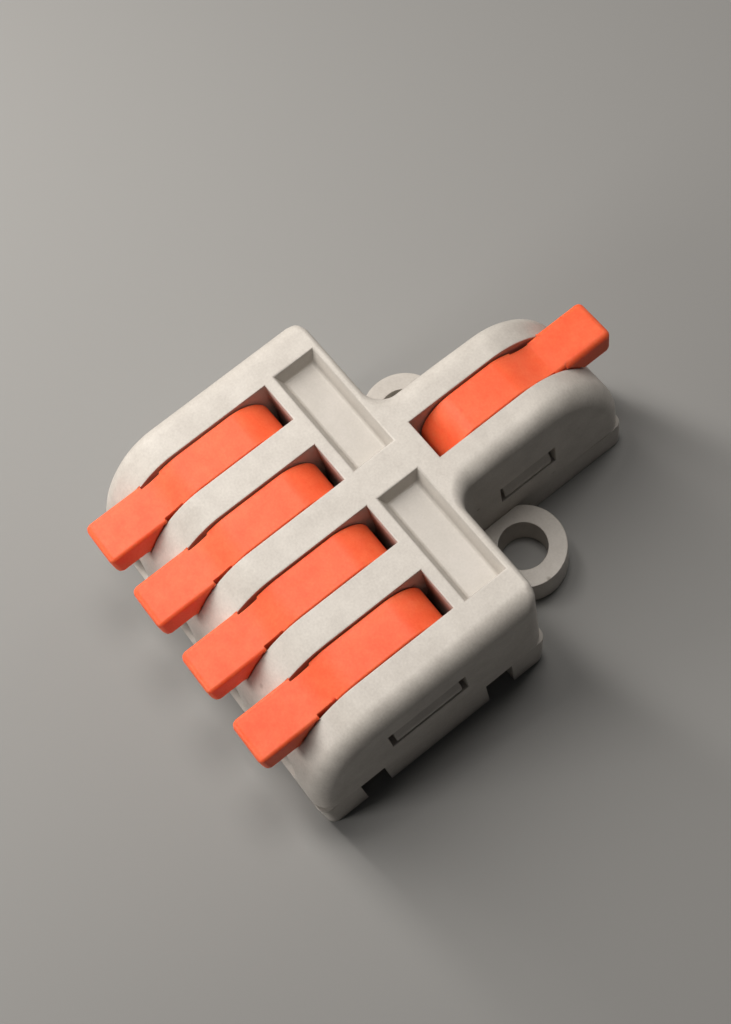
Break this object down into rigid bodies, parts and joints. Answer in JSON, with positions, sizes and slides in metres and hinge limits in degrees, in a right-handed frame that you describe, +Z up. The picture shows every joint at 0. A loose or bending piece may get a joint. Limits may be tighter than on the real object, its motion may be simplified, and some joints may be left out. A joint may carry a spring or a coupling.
{
  "type": "lever wire connector",
  "caption": "Lever wire connector that joins one feed wire to a row of outgoing wires, with hinged clamp levers, spring clamps on a shared current bar, and two screw ears.",
  "frame": {"origin": "midway between the two screw holes, on the bottom face", "axes": "+Z up out of the bottom face, +Y towards the single feed position, -Y towards the four outgoing positions, X along the row of levers"},
  "size_m": [0.0302, 0.0407, 0.015],
  "materials": {
    "housing": "moulded light warm grey polyamide, satin-matte",
    "base_cover": "moulded light warm grey polyamide, satin-matte",
    "current_bar": "stamped copper, tin-plated, satin",
    "lever": "moulded orange polycarbonate-like plastic, soft sheen",
    "spring": "stainless spring strip, bright"
  },
  "bodies": {
    "shell": {"housing": "housing", "base_cover": "base_cover", "current_bar": "current_bar", "spring_1": "spring", "spring_2": "spring", "spring_3": "spring", "spring_4": "spring", "spring_5": "spring"},
    "lever_1_body": {"lever_1": "lever"},
    "lever_2_body": {"lever_2": "lever"},
    "lever_3_body": {"lever_3": "lever"},
    "lever_4_body": {"lever_4": "lever"},
    "lever_5_body": {"lever_5": "lever"}
  },
  "joints": [
    {"name": "lever_1_hinge", "type": "hinge", "parent": "shell", "child": "lever_1_body", "pos_m": [-0.00975, -0.01265, 0.0117], "axis": [-1, 0, 0], "range_deg": [0, 90], "deforming": ["spring_1"]},
    {"name": "lever_2_hinge", "type": "hinge", "parent": "shell", "child": "lever_2_body", "pos_m": [-0.00325, -0.01265, 0.0117], "axis": [-1, 0, 0], "range_deg": [0, 90], "deforming": ["spring_2"]},
    {"name": "lever_3_hinge", "type": "hinge", "parent": "shell", "child": "lever_3_body", "pos_m": [0.00325, -0.01265, 0.0117], "axis": [-1, 0, 0], "range_deg": [0, 90], "deforming": ["spring_3"]},
    {"name": "lever_4_hinge", "type": "hinge", "parent": "shell", "child": "lever_4_body", "pos_m": [0.00975, -0.01265, 0.0117], "axis": [-1, 0, 0], "range_deg": [0, 90], "deforming": ["spring_4"]},
    {"name": "lever_5_hinge", "type": "hinge", "parent": "shell", "child": "lever_5_body", "pos_m": [0, 0.0013, 0.0117], "axis": [1, 0, 0], "range_deg": [0, 90], "deforming": ["spring_5"]}
  ]
}
